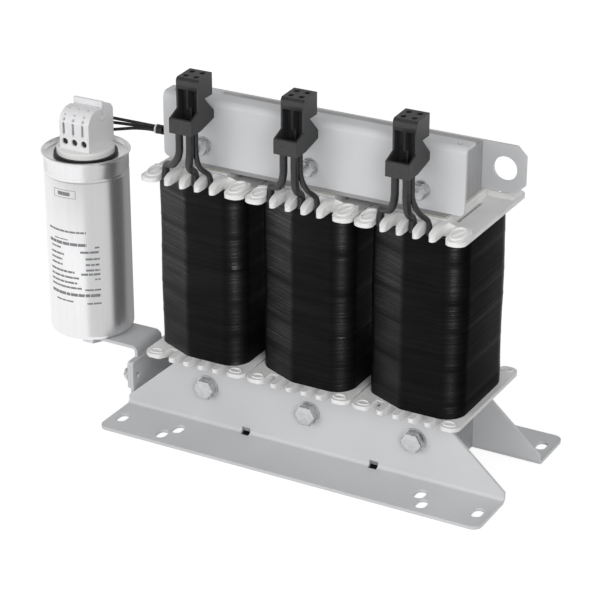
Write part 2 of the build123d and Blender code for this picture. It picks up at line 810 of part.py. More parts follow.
with BuildPart() as capacitor_stud_washer:
    with BuildSketch(can_plane.offset(bracket_under)):
        Circle(2 * stud_radius)
        Circle(stud_radius + bolt_clearance / 2, mode=Mode.SUBTRACT)
    extrude(amount=-washer_sheet)
save(capacitor_stud_washer.part, "capacitor_stud_washer")

with BuildPart() as capacitor_stud_nut:
    with BuildSketch(can_plane.offset(bracket_under - washer_sheet)):
        RegularPolygon(hexagon_radius(stud_nut_width), 6)
        Circle(stud_radius, mode=Mode.SUBTRACT)
    extrude(amount=-stud_nut_height)
save(capacitor_stud_nut.part, "capacitor_stud_nut")

# Two bolts through the bracket, screwed into the end plate
bracket_outer = end_plate_outer - sheet
with BuildPart() as bracket_fixing_bolts:
    with BuildSketch(Plane.YZ.offset(bracket_outer - washer_sheet)):
        with Locations(*bracket_bolts):
            RegularPolygon(hexagon_radius(bracket_bolt_head), 6)
    extrude(amount=-bolt_head_share * bracket_bolt)
    with BuildSketch(Plane.YZ.offset(bracket_outer - washer_sheet)):
        with Locations(*bracket_bolts):
            Circle(bracket_bolt / 2)
    extrude(amount=washer_sheet + 2 * sheet + bracket_bolt_end)
save(bracket_fixing_bolts.part, "bracket_fixing_bolts")

with BuildPart() as bracket_fixing_washers:
    with BuildSketch(Plane.YZ.offset(bracket_outer)):
        with Locations(*bracket_bolts):
            Circle(bracket_washer_width / 2)
            Circle(bracket_bolt / 2 + bolt_clearance / 2, mode=Mode.SUBTRACT)
    extrude(amount=-washer_sheet)
save(bracket_fixing_washers.part, "bracket_fixing_washers")

# Capacitor leads: out of the head's rear face, gathered by a tie and a short sleeve, then up on
# to the core behind the front plate and through it to the rear of each terminal block
channel_z = core_top + capacitor_lead / 2 + channel_gap
bundle_z = disc_top + bundle_rise
side_offset = bundle_radius * cos(radians(30))
lead_runs = {
    "left": (pole_places[2], -side_offset, -bundle_drop, -1),
    "middle": (pole_places[0], 0.0, bundle_radius, 0),
    "right": (pole_places[1], side_offset, -bundle_drop, 1),
}
for name, (pole_x, off_y, off_z, place) in lead_runs.items():
    end_x = terminal_places[name]
    pole_z = disc_top + pole_rise[name]
    lane_y = channel_y + place * channel_pitch
    climb_x = rise_x + place * rise_pitch
    over_core = [(end_x - plate_run, lane_y, channel_z)]
    if end_x - plate_run > channel_rest_x:
        over_core.insert(0, (channel_rest_x, lane_y, channel_z))
    points = [
        (pole_x, head_rear, pole_z),
        (pole_x, bundle_y + off_y, pole_z),
        (tie_x - bundle_run, bundle_y + off_y, bundle_z + off_z),
        (climb_x, bundle_y + off_y, bundle_z + off_z),
        (climb_x + channel_climb, lane_y, channel_z + channel_crest),
        *over_core,
        (end_x, lane_y - capacitor_lead / 2, lead_hole_z),
        (end_x, -web_face, lead_hole_z),
    ]
    save(lead(points, capacitor_lead), f"capacitor_lead_{name}")

bundle_inner = bundle_radius + capacitor_lead / 2 + bundle_gap
with BuildPart() as lead_tie:
    with BuildSketch(Plane.YZ.offset(tie_x - tie_width / 2)):
        with Locations((bundle_y, bundle_z)):
            Circle(sleeve_radius + tie_sheet)
            Circle(bundle_inner, mode=Mode.SUBTRACT)
    extrude(amount=tie_width)
save(lead_tie.part, "lead_tie")

with BuildPart() as lead_sleeve:
    with BuildSketch(Plane.YZ.offset(tie_x + tie_width / 2)):
        with Locations((bundle_y, bundle_z)):
            Circle(sleeve_radius)
            Circle(bundle_inner, mode=Mode.SUBTRACT)
    extrude(amount=sleeve_length)
save(lead_sleeve.part, "lead_sleeve")
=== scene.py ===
import bmesh
import bpy
import math
import random
from mathutils import Matrix, Vector


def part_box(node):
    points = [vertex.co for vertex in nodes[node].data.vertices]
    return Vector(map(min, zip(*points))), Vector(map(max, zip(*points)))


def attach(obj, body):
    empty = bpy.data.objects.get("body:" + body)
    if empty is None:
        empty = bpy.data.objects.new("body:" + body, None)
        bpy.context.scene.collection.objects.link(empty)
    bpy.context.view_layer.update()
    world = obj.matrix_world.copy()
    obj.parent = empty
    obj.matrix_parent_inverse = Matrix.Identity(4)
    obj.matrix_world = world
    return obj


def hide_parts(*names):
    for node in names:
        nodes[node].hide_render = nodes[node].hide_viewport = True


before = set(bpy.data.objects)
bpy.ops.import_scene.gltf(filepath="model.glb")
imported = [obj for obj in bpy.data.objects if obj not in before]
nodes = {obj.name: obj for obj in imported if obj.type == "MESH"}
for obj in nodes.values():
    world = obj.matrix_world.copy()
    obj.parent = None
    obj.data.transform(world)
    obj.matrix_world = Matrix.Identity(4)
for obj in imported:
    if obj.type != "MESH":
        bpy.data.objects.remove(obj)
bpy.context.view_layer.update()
mm = 0.001

# Camera: a long lens from the front right and above, as in the photograph. It is placed by its
# own axes, looking at a point a little left of the middle coil.
azimuth = math.radians(28.9)
elevation = math.radians(24.9)
camera_distance = 1937.5
aim = Vector((-29.4, 0.0, 121.7)) * mm
toward_camera = Vector((
    math.sin(azimuth) * math.cos(elevation),
    -math.cos(azimuth) * math.cos(elevation),
    math.sin(elevation),
))
to_the_right = Vector((math.cos(azimuth), math.sin(azimuth), 0.0))
axes = Matrix((to_the_right, toward_camera.cross(to_the_right), toward_camera)).transposed()
camera = bpy.data.objects.new("studio_camera", bpy.data.cameras.new("studio_camera"))
bpy.context.scene.collection.objects.link(camera)
camera.matrix_world = Matrix.Translation(aim + toward_camera * camera_distance * mm) @ axes.to_4x4()
camera.data.sensor_fit = "HORIZONTAL"
camera.data.sensor_width = 36.0
camera.data.lens = 136.63
camera.data.clip_end = 20.0
bpy.context.scene.camera = camera


# Core: electrical steel punched as E and I shapes and stacked in thin packets, which never line
# up to the last tenth. Each packet is cut once and copied through the stack.
def activate(piece):
    """Select one piece alone, for the operators that follow."""
    bpy.ops.object.select_all(action="DESELECT")
    piece.select_set(True)
    bpy.context.view_layer.objects.active = piece


def edit(piece):
    """Open a piece in edit mode, with nothing selected."""
    activate(piece)
    bpy.ops.object.mode_set(mode="EDIT")
    bpy.ops.mesh.select_all(action="DESELECT")


def leave_edit():
    bpy.ops.object.mode_set(mode="OBJECT")


def pick(piece, kind, wanted):
    """Select the vertices, edges or faces of a piece in edit mode whose middle and normal fit."""
    mesh = bmesh.from_edit_mesh(piece.data)
    bpy.ops.mesh.select_mode(type={"verts": "VERT", "edges": "EDGE", "faces": "FACE"}[kind])
    for part in getattr(mesh, kind):
        if kind == "verts":
            part.select = wanted(part.co)
        elif kind == "edges":
            start, end = part.verts[0].co, part.verts[1].co
            part.select = wanted((start + end) / 2, (end - start).normalized())
        else:
            part.select = wanted(part.calc_center_median(), part.normal)
    mesh.select_flush_mode()
    bmesh.update_edit_mesh(piece.data)


def block(name, low, high):
    """A box from its low to its high corner, in millimetres, to be shaped further."""
    low, high = Vector(low) * mm, Vector(high) * mm
    bpy.ops.object.select_all(action="DESELECT")
    bpy.ops.mesh.primitive_cube_add(size=1.0, location=(low + high) / 2)
    piece = bpy.context.object
    piece.scale = high - low
    bpy.ops.object.transform_apply(location=True, rotation=True, scale=True)
    piece.name = name
    return piece


smooth_angle = math.radians(40)


def round_edges(piece, width, segments=2, angle=35.0, flat_sides=True):
    """Round the sharp edges of a piece, by a width in millimetres, and smooth its curved sides."""
    bevel = piece.modifiers.new("eased_edges", "BEVEL")
    bevel.width = width * mm
    bevel.segments = segments
    bevel.limit_method = "ANGLE"
    bevel.angle_limit = math.radians(angle)
    bevel.use_clamp_overlap = True
    activate(piece)
    bpy.ops.object.modifier_apply(modifier="eased_edges")
    bpy.ops.object.shade_smooth_by_angle(angle=smooth_angle)
    if flat_sides:
        even = piece.modifiers.new("even_shading", "WEIGHTED_NORMAL")
        even.keep_sharp = True
        bpy.ops.object.modifier_apply(modifier="even_shading")


def copies(piece, places):
    """Join copies of a piece, each with its own mesh, at the places given in millimetres."""
    bpy.ops.object.select_all(action="DESELECT")
    for place in places:
        twin = bpy.data.objects.new(piece.name, piece.data.copy())
        bpy.context.scene.collection.objects.link(twin)
        twin.data.transform(Matrix.Translation(Vector(place) * mm))
        twin.select_set(True)
        bpy.context.view_layer.objects.active = twin
    name = piece.name
    bpy.data.objects.remove(piece)
    bpy.ops.object.join()
    bpy.context.object.name = name
    return bpy.context.object


def finish(piece, material, slot, *replaced):
    """Give a piece its finish and its place in the assembly."""
    piece.data.materials.clear()
    piece.data.materials.append(material)
    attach(piece, "root")
    if replaced:
        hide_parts(*replaced)


def surface(name, colour, roughness, metallic=0.0, specular=0.5):
    """A plain shader to be given its grain: its node tree, its main node and object coordinates."""
    material = bpy.data.materials.new(name)
    material.use_nodes = True
    tree = material.node_tree
    shader = tree.nodes["Principled BSDF"]
    shader.inputs["Base Color"].default_value = (*colour, 1.0)
    shader.inputs["Roughness"].default_value = roughness
    shader.inputs["Metallic"].default_value = metallic
    shader.inputs["Specular IOR Level"].default_value = specular
    place = tree.nodes.new("ShaderNodeTexCoord").outputs["Object"]
    return material, tree, shader, place


def grain(tree, place, scale, stretch=(1.0, 1.0, 1.0), detail=3.0, turn=(0.0, 0.0, 0.0)):
    """Fine noise on object coordinates, stretched along the way a surface is worked."""
    mapping = tree.nodes.new("ShaderNodeMapping")
    mapping.inputs["Scale"].default_value = stretch
    mapping.inputs["Rotation"].default_value = turn
    tree.links.new(place, mapping.inputs["Vector"])
    noise = tree.nodes.new("ShaderNodeTexNoise")
    noise.inputs["Scale"].default_value = scale
    noise.inputs["Detail"].default_value = detail
    tree.links.new(mapping.outputs["Vector"], noise.inputs["Vector"])
    return noise.outputs["Fac"]


def between(tree, factor, low, high, start=0.35, end=0.65):
    """Blend two colours, or two plain values, by a noise."""
    ramp = tree.nodes.new("ShaderNodeMapRange")
    ramp.inputs["From Min"].default_value = start
    ramp.inputs["From Max"].default_value = end
    tree.links.new(factor, ramp.inputs["Value"])
    if not isinstance(low, tuple):
        ramp.inputs["To Min"].default_value = low
        ramp.inputs["To Max"].default_value = high
        return ramp.outputs["Result"]
    mix = tree.nodes.new("ShaderNodeMix")
    mix.data_type = "RGBA"
    mix.inputs["A"].default_value = (*low, 1.0)
    mix.inputs["B"].default_value = (*high, 1.0)
    tree.links.new(ramp.outputs["Result"], mix.inputs["Factor"])
    return mix.outputs["Result"]


def tint(tree, shader, factor, low, high, start=0.35, end=0.65):
    """Let the colour of a surface wander between two tones."""
    tree.links.new(between(tree, factor, low, high, start, end), shader.inputs["Base Color"])


def wear(tree, shader, factor, low, high):
    """Let the roughness of a surface wander between two values."""
    tree.links.new(between(tree, factor, low, high), shader.inputs["Roughness"])


def relief(tree, shader, height, depth, strength=0.6, under=None):
    """Raise the surface by a noise, to a depth in millimetres, on top of a relief under it."""
    bump = tree.nodes.new("ShaderNodeBump")
    bump.inputs["Strength"].default_value = strength
    bump.inputs["Distance"].default_value = depth * mm
    tree.links.new(height, bump.inputs["Height"])
    if under is not None:
        tree.links.new(under, bump.inputs["Normal"])
    tree.links.new(bump.outputs["Normal"], shader.inputs["Normal"])
    return bump.outputs["Normal"]


lamination_steel, tree, shader, place = surface("lamination_steel", (0.4, 0.4, 0.41), 0.45, 0.3)
sheets = grain(tree, place, 1.0, (8.0, 1900.0, 8.0), 1.0)
varnish = grain(tree, place, 60.0)
tint(tree, shader, sheets, (0.3, 0.3, 0.31), (0.52, 0.52, 0.53), 0.3, 0.75)
wear(tree, shader, varnish, 0.32, 0.55)
relief(tree, shader, sheets, 0.12, 0.8)

random.seed(4)
legs = {"left": -100.0, "middle": 0.0, "right": 100.0}
leg_sides = (-80.0, -20.0, 20.0, 80.0)
yoke_bottom, yoke_top = 3.0, 61.0
packet, packet_gap, packet_slip, packet_edge = 3.0, 0.03, 0.18, 0.14
e_low, e_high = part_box("core_e_stack")
i_low, i_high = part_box("core_i_yoke")
leg_top, core_end = e_high.z / mm, e_high.x / mm
e_packet = block(
    "core_e_packets",
    (-core_end, packet_gap, yoke_bottom),
    (core_end, packet - packet_gap, yoke_top),
)
edit(e_packet)
for leg_side in leg_sides:
    bpy.ops.mesh.select_all(action="SELECT")
    bpy.ops.mesh.bisect(plane_co=(leg_side * mm, 0, 0), plane_no=(1, 0, 0))
pick(e_packet, "faces", lambda c, n: n.z > 0.9
     and min(abs(c.x - leg_x * mm) for leg_x in legs.values()) < 1 * mm)
rise = (leg_top - yoke_top) * mm
bpy.ops.mesh.extrude_region_move(TRANSFORM_OT_translate={"value": (0, 0, rise)})
leave_edit()
i_packet = block(
    "core_i_packets",
    (-core_end, packet_gap, i_low.z / mm),
    (core_end, packet - packet_gap, i_high.z / mm),
)
for cut_packet, node in ((e_packet, "core_e_stack"), (i_packet, "core_i_yoke")):
    round_edges(cut_packet, packet_edge, 1)
    places = []
    for layer in range(round((e_high.y - e_low.y) / mm / packet)):
        slip = random.uniform(-packet_slip, packet_slip)
        places.append((slip, e_low.y / mm + layer * packet, 0.0))
    finish(copies(cut_packet, places), lamination_steel, "core_steel", node)

# Air-gap spacers: strips of pressed insulating board between the legs and the upper yoke. They
# are cut to the core's depth and clamped with it, and their fibres run along it.
spacer_board, tree, shader, place = surface("spacer_board", (0.62, 0.56, 0.42), 0.6)
fibres = grain(tree, place, 300.0, (1.0, 0.2, 1.0))
tint(tree, shader, fibres, (0.5, 0.45, 0.33), (0.66, 0.6, 0.46))
relief(tree, shader, fibres, 0.05)
nodes["air_gap_spacers"].data.materials.clear()
nodes["air_gap_spacers"].data.materials.append(spacer_board)


# Bobbins: glass-filled nylon, moulded white, with a comb at each end. Moulding leaves every edge
# rounded, and each lobe beside a comb has a raised oval rim with a small rib across it.
def merged_copy(node, name):
    """A copy of a solid's mesh, its triangles merged to one closed shell, in edit mode."""
    piece = bpy.data.objects.new(name, nodes[node].data.copy())
    bpy.context.scene.collection.objects.link(piece)
    edit(piece)
    bpy.ops.mesh.select_all(action="SELECT")
    bpy.ops.mesh.remove_doubles(threshold=0.002 * mm)
    return piece


def merge_flats():
    """Drop the solid's own shading, join the triangles that lie in one plane, leave edit mode."""
    bpy.ops.mesh.select_all(action="SELECT")
    bpy.ops.mesh.customdata_custom_splitnormals_clear()
    bpy.ops.mesh.select_all(action="SELECT")
    bpy.ops.mesh.dissolve_limited(angle_limit=math.radians(0.6))
    leave_edit()


def eased(node, name, width, angle=35.0, flat_sides=True):
    """A piece with a solid's own form, its shell closed and its edges rounded."""
    piece = merged_copy(node, name)
    merge_flats()
    round_edges(piece, width, 2, angle, flat_sides)
    return piece


def joined(name, *pieces):
    """One piece made of several that run into each other."""
    bpy.ops.object.select_all(action="DESELECT")
    for piece in pieces:
        piece.select_set(True)
        bpy.context.view_layer.objects.active = piece
    bpy.ops.object.join()
    bpy.context.object.name = name
    return bpy.context.object


def lay(piece, place, turn=(0, 0, 0), stretch=(1.0, 1.0, 1.0)):
    """Stretch, turn and move a piece, and keep that in its mesh."""
    activate(piece)
    piece.location, piece.rotation_euler, piece.scale = Vector(place) * mm, turn, stretch
    bpy.ops.object.transform_apply(location=True, rotation=True, scale=True)
    return piece


def rim(across, thick):
    """A low round rim, in millimetres, to be stretched and laid on a lobe."""
    bpy.ops.object.select_all(action="DESELECT")
    bpy.ops.mesh.primitive_torus_add(
        major_segments=32, minor_segments=8, major_radius=across * mm, minor_radius=thick * mm
    )
    return bpy.context.object


moulded_white, tree, shader, place = surface("moulded_white", (0.8, 0.8, 0.79), 0.38)
flow = grain(tree, place, 35.0)
pores = grain(tree, place, 900.0)
tint(tree, shader, flow, (0.76, 0.76, 0.755), (0.84, 0.84, 0.83))
wear(tree, shader, pores, 0.3, 0.46)
relief(tree, shader, pores, 0.03)

upper_flange, lower_flange = 230.5, 71.5
flanges = ((upper_flange, 1), (lower_flange, -1))
bobbin_middle = (upper_flange + lower_flange) / 2
finger_pitch, finger_reach, finger_slimming = 14.4, 5.6, 0.78
comb_y, comb_low, comb_high = 44, -0.5, 30
lobe_inner_x, lobe_outer_x, lobe_y = 31, 47.5, 38.9
lobe_inner_y, lobe_outer_y = 39.0, 60.0
lobe_least_rise, lobe_inner_rise, lobe_outer_rise = 3.55, 7.4, 4.3
lobe_fall = (lobe_inner_rise - lobe_outer_rise) / (lobe_outer_y - lobe_inner_y)
rim_x, rim_y, rim_lift = 39.2, 49.4, 0.2
rim_radius, rim_thick, rim_stretch = 6.2, 1.1, (1.0, 1.45, 1.0)
rib_low, rib_high, rib_turn = (-0.7, -6.5, -1.5), (0.7, 6.5, 1.0), math.radians(-28.0)
under_rim_y, under_rim_radius, under_rim_thick = 56.0, 5.2, 0.9
under_rim_stretch = (1.0, 0.7, 1.0)
for side, coil_x in legs.items():
    body = merged_copy(f"bobbin_{side}", "bobbin_body")
    # The fingers of both combs, made slimmer by a fifth.
    for base, way in flanges:
        for finger in range(-1, 3):
            finger_x = coil_x + (finger - 0.5) * finger_pitch
            pick(body, "verts", lambda c: abs(c.x / mm - finger_x) < finger_reach
                 and abs(c.y) > comb_y * mm and comb_low < (c.z / mm - base) * way < comb_high)
            bpy.ops.transform.resize(
                value=(finger_slimming, 1, 1), center_override=(finger_x * mm, 0, 0)
            )
    leave_edit()
    # The crowns of the lobes, brought down to an even slope outwards.
    for vertex in body.data.vertices:
        x, y, z = vertex.co / mm
        base, way = flanges[0] if z > bobbin_middle else flanges[1]
        on_a_lobe = lobe_inner_x < abs(x - coil_x) < lobe_outer_x and abs(y) > lobe_y
        if on_a_lobe and (z - base) * way > lobe_least_rise:
            slope = lobe_inner_rise - lobe_fall * (abs(y) - lobe_inner_y)
            vertex.co.z = (base + way * min((z - base) * way, slope)) * mm
    edit(body)
    merge_flats()
    round_edges(body, 0.6, 3)
    details = [body]
    for left_right in (-1, 1):
        for front_rear in (-1, 1):
            lobe_x, lobe_rim_y = coil_x + left_right * rim_x, front_rear * rim_y
            for base, way in flanges:
                rise = lobe_inner_rise - lobe_fall * (abs(lobe_rim_y) - lobe_inner_y)
                tilt = -math.atan(lobe_fall) * front_rear * way
                middle = (lobe_x, lobe_rim_y, base + way * (rise + rim_lift))
                oval = rim(rim_radius, rim_thick)
                details.append(lay(oval, middle, (tilt, 0, 0), rim_stretch))
                rib = block("rib", rib_low, rib_high)
                details.append(lay(rib, middle, (tilt, 0, rib_turn)))
            under = (lobe_x, front_rear * under_rim_y, lower_flange)
            oval = rim(under_rim_radius, under_rim_thick)
            details.append(lay(oval, under, stretch=under_rim_stretch))
    bobbin = joined(f"moulded_bobbin_{side}", *details)
    bpy.ops.object.shade_smooth_by_angle(angle=smooth_angle)
    finish(bobbin, moulded_white, "bobbin_white", f"bobbin_{side}")

# Windings: enamelled wire under laps of black polyester tape. The laps lie on each other in thin
# steps, a few of them thicker and a little slanted, and every turn of wire shows as a fine thread.
winding_tape, tree, shader, place = surface(
    "winding_tape", (0.003, 0.003, 0.0033), 0.36, specular=0.036
)
threads = grain(tree, place, 1.0, (5.0, 5.0, 620.0), 1.5)
fine_threads = grain(tree, place, 1.0, (9.0, 9.0, 1500.0), 1.0, (0.006, 0.004, 0.0))
rub = grain(tree, place, 1.0, (26.0, 26.0, 90.0))
tint(tree, shader, threads, (0.0014, 0.0014, 0.0016), (0.0038, 0.0038, 0.0042))
wear(tree, shader, rub, 0.33, 0.39)
raised = relief(tree, shader, threads, 0.14, 1.0)
relief(tree, shader, fine_threads, 0.12, 0.7, raised)

lean = {"left": -3.5, "middle": -2.0, "right": -1.0}
half_width, half_depth = 45.0, 51.8
corner_radii = {(1, -1): 18.0, (-1, 1): 26.0, (1, 1): 26.0}
flat_cut, flat_cut_across, flat_cut_back = 25.0, 37.0, 17.0
front_soft_edge, side_soft_edge = 3.5, 9.0
first_lap, lap_pitch, mean_lap_pitch, lap_margin = (3.0, 5.0), (3.6, 5.2), 4.2, 3.0
first_thick_lap, thick_lap_pitch, thick_lap_extra = (8.0, 30.0), (18.0, 34.0), 2.0
lap_slant, lap_swell = (-0.03, 0.05), (-0.1, 0.1)
lap_step, lap_dip, lap_rise, thick_lap_rise = 0.5, -0.02, 0.02, 0.22
drift_size, drift_pace, swell_share = 0.28, 0.06, 0.5
end_inset, bore_half_width, bore_half_depth = 12, 27.0, 41.5
wound = bpy.data.collections.new("wound_coils")


def pick_upright(winding, corner):
    """Select the upright edge of a winding that stands at a corner."""
    pick(winding, "edges", lambda c, d: abs(d.z) > 0.9 and (c.xy - corner.xy).length < 0.1 * mm)


for number, (side, coil_x) in enumerate(legs.items()):
    random.seed(20 + number)
    w_low, w_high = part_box(f"winding_{side}")
    bottom, top = w_low.z / mm, w_high.z / mm
    middle_x = coil_x + lean[side]
    winding = block(
        f"taped_winding_{side}",
        (middle_x - half_width, -half_depth, bottom),
        (middle_x + half_width, half_depth, top),
    )
    edit(winding)
    for (left_right, front_rear), radius in corner_radii.items():
        corner = Vector((middle_x + left_right * half_width, front_rear * half_depth, 0)) * mm
        pick_upright(winding, corner)
        bpy.ops.mesh.bevel(offset=radius * mm, segments=16, profile=0.5, affect="EDGES")
    pick_upright(winding, Vector((middle_x - half_width, -half_depth, 0)) * mm)
    bpy.ops.mesh.bevel(offset=flat_cut * mm, segments=1, affect="EDGES")
    for cut, moved, soft_edge in (
        (
            Vector((middle_x - half_width + flat_cut, -half_depth, 0)) * mm,
            Vector((flat_cut_across - flat_cut, 0, 0)) * mm,
            front_soft_edge,
        ),
        (
            Vector((middle_x - half_width, flat_cut - half_depth, 0)) * mm,
            Vector((0, flat_cut_back - flat_cut, 0)) * mm,
            side_soft_edge,
        ),
    ):
        pick(winding, "verts", lambda c: (c.xy - cut.xy).length < 0.1 * mm)
        bpy.ops.transform.translate(value=moved)
        pick_upright(winding, cut + moved)
        bpy.ops.mesh.bevel(offset=soft_edge * mm, segments=6, profile=0.5, affect="EDGES")
    laps = []
    height = bottom + random.uniform(*first_lap)
    until_thick = random.uniform(*first_thick_lap)
    while height < top - lap_margin:
        until_thick -= mean_lap_pitch
        thick = until_thick < 0
        slant = random.uniform(*lap_slant) if thick else 0.0
        upward = Vector((slant, 0, 1)).normalized()
        laps.append((height, upward, thick, random.uniform(*lap_swell)))
        height += random.uniform(*lap_pitch)
        if thick:
            height += thick_lap_extra
            until_thick = random.uniform(*thick_lap_pitch)
    for height, upward, _, _ in laps:
        for step in (-lap_step, lap_step):
            bpy.ops.mesh.select_all(action="SELECT")
            bpy.ops.mesh.bisect(plane_co=(middle_x * mm, 0, (height + step) * mm), plane_no=upward)
    for height, upward, thick, swell in laps:
        drift = drift_size * math.sin(height * drift_pace + 2 * number) + swell_share * swell
        rise = thick_lap_rise if thick else lap_rise
        for step, proud in ((-lap_step, lap_dip), (lap_step, rise)):
            point = Vector((middle_x * mm, 0, (height + step) * mm))
            pick(winding, "verts", lambda c: abs((c - point).dot(upward)) < 0.02 * mm)
            out = proud + drift
            bpy.ops.transform.resize(
                value=(1 + out / half_width, 1 + out / half_depth, 1), center_override=point
            )
    pick(winding, "faces", lambda c, n: abs(n.z) > 0.99)
    bpy.ops.mesh.inset(thickness=end_inset * mm)
    narrowed = bore_half_width / (half_width - end_inset)
    shortened = bore_half_depth / (half_depth - end_inset)
    bpy.ops.transform.resize(value=(narrowed, shortened, 1), center_override=(middle_x * mm, 0, 0))
    bpy.ops.mesh.bridge_edge_loops()
    leave_edit()
    bpy.ops.object.shade_smooth_by_angle(angle=math.radians(22))
    finish(winding, winding_tape, "winding_tape", f"winding_{side}")
    wound.objects.link(winding)

# Folded sheet: feet, end plate, clamping plates and capacitor bracket, cut and bent from 3 mm
# steel and powder-coated light grey. The coat rounds each edge and shows a fine orange peel.
powder_coat, tree, shader, place = surface("powder_coat", (0.6, 0.605, 0.615), 0.42)
peel = grain(tree, place, 420.0, detail=2.0)
cloud = grain(tree, place, 9.0)
tint(tree, shader, cloud, (0.575, 0.58, 0.59), (0.625, 0.63, 0.64))
wear(tree, shader, peel, 0.36, 0.5)
relief(tree, shader, peel, 0.04)
for node, name in (
    ("front_foot_bracket", "coated_front_foot"),
    ("rear_foot_bracket", "coated_rear_foot"),
    ("left_end_plate", "coated_end_plate"),
    ("upper_front_plate", "coated_upper_plate"),
    ("lifting_plate", "coated_lifting_plate"),
    ("capacitor_bracket", "coated_capacitor_bracket"),
):
    finish(eased(node, name, 0.45), powder_coat, "sheet_grey", node)

# Bolts: zinc-plated hexagon bolts through core and plates, with a washer at each face and a nut
# behind, and the plated stud that holds the can. Heads and nuts have their corners turned off.
zinc_plate, tree, shader, place = surface("zinc_plate", (0.62, 0.63, 0.64), 0.3, 1.0)
spangle = grain(tree, place, 240.0)
tint(tree, shader, spangle, (0.52, 0.53, 0.54), (0.7, 0.71, 0.72))
wear(tree, shader, spangle, 0.24, 0.42)
relief(tree, shader, spangle, 0.02)
for node in (
    "lower_clamp_bolts", "lower_clamp_washers", "lower_clamp_nuts",
    "upper_clamp_bolts", "upper_clamp_washers", "upper_clamp_nuts",
    "bracket_fixing_bolts", "bracket_fixing_washers",
    "capacitor_stud", "capacitor_stud_washer", "capacitor_stud_nut",
):
    finish(eased(node, f"plated_{node}", 0.25), zinc_plate, "bolt_steel", node)

# Terminal blocks: black glass-filled nylon, moulded with a trough and two wire cavities divided
# by a rib. Each block stands on a neck and a foot against the front plate.
block_black, tree, shader, place = surface("block_black", (0.022, 0.022, 0.023), 0.42)
flow = grain(tree, place, 700.0)
tint(tree, shader, flow, (0.018, 0.018, 0.019), (0.036, 0.036, 0.038))
wear(tree, shader, flow, 0.36, 0.55)
relief(tree, shader, flow, 0.05)
lip, cavity_half, rib_half = 1.55, 8.95, 0.9
wall_depth, cavity_depth, trough_overlap, cavity_overlap = 12.0, 8.5, 5.0, 2.0
cavity_floor, trough_height, cavity_roof = 7.0, 18.2, 10.5
for side in legs:
    node = f"terminal_block_{side}"
    moulding = eased(node, f"moulded_{node}", 0.4)
    low, high = (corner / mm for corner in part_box(node))
    middle, wall, floor_z = (low.x + high.x) / 2, low.y + wall_depth, low.z + cavity_floor
    trough = (
        (middle - cavity_half, low.y + lip, floor_z),
        (middle + cavity_half, wall + trough_overlap, low.z + trough_height),
    )
    left_cavity = (
        (middle - cavity_half, wall - cavity_overlap, floor_z),
        (middle - rib_half, wall + cavity_depth, high.z - cavity_roof),
    )
    right_cavity = (
        (middle + rib_half, wall - cavity_overlap, floor_z),
        (middle + cavity_half, wall + cavity_depth, high.z - cavity_roof),
    )
    for cut_low, cut_high in (trough, left_cavity, right_cavity):
        hollow = block("hollow", cut_low, cut_high)
        activate(moulding)
        cavity = moulding.modifiers.new("cavity", "BOOLEAN")
        cavity.operation, cavity.solver, cavity.object = "DIFFERENCE", "EXACT", hollow
        bpy.ops.object.modifier_apply(modifier="cavity")
        bpy.data.objects.remove(hollow)
    bpy.ops.object.shade_smooth_by_angle(angle=smooth_angle)
    finish(moulding, block_black, "terminal_black", node)

# Clamp screws: turned steel with a slot across the head, four in the top of each terminal block.
# They are sunk a little in their wells.
screw_steel, tree, shader, place = surface("screw_steel", (0.4, 0.4, 0.41), 0.32, 1.0)
turned = grain(tree, place, 900.0)
wear(tree, shader, turned, 0.24, 0.45)
relief(tree, shader, turned, 0.02)
slotted_screws = eased("terminal_screws", "slotted_screws", 0.2)
finish(slotted_screws, screw_steel, "screw_steel", "terminal_screws")

# Leads: black PVC over stranded copper, stiff enough to keep the bends they were given. They run
# from the terminal blocks to the coils and the capacitor, whose three share a short sleeve.
lead_pvc, tree, shader, place = surface("lead_pvc", (0.013, 0.013, 0.014), 0.36)
sleeve = grain(tree, place, 260.0)
tint(tree, shader, sleeve, (0.009, 0.009, 0.01), (0.019, 0.019, 0.02))
wear(tree, shader, sleeve, 0.3, 0.46)
relief(tree, shader, sleeve, 0.05)
for node, solid in nodes.items():
    if "_lead_" in node or node == "lead_sleeve":
        solid.data.materials.clear()
        solid.data.materials.append(lead_pvc)

# Tie: a strap of white nylon, moulded with fine ridges. It is drawn tight round the capacitor's
# three leads, beside their sleeve.
nylon_tie, tree, shader, place = surface("nylon_tie", (0.74, 0.74, 0.72), 0.4)
relief(tree, shader, grain(tree, place, 1200.0), 0.05)
nodes["lead_tie"].data.materials.clear()
nodes["lead_tie"].data.materials.append(nylon_tie)

# Capacitor can: aluminium, drawn deep and left half bright, with a rolled rim and a groove.
# Drawing leaves fine upright marks on its wall.
drawn_aluminium, tree, shader, place = surface("drawn_aluminium", (0.82, 0.82, 0.83), 0.24, 1.0)
drawn = grain(tree, place, 1.0, (260.0, 260.0, 3.0))
tint(tree, shader, drawn, (0.83, 0.83, 0.84), (0.86, 0.86, 0.87))
wear(tree, shader, drawn, 0.27, 0.3)
relief(tree, shader, drawn, 0.0006)
drawn_can = eased("capacitor_can", "drawn_can", 0.15, 50.0, flat_sides=False)
finish(drawn_can, drawn_aluminium, "can_aluminium", "capacitor_can")


# Print on the can: dark ink in rows of plain bars, and a small box above them, stamped on the
# front of the wall. It is laid out flat and then wrapped round the can.
def bend_round(piece, radius):
    """Wrap a flat piece, laid out in front of its own origin, round an upright axis behind it."""
    low, high = (limit(v.co.x for v in piece.data.vertices) for limit in (min, max))
    wrap = piece.modifiers.new("wrap", "SIMPLE_DEFORM")
    wrap.deform_method = "BEND"
    wrap.deform_axis = "Z"
    wrap.angle = (high - low) / radius
    bpy.ops.object.modifier_apply(modifier="wrap")


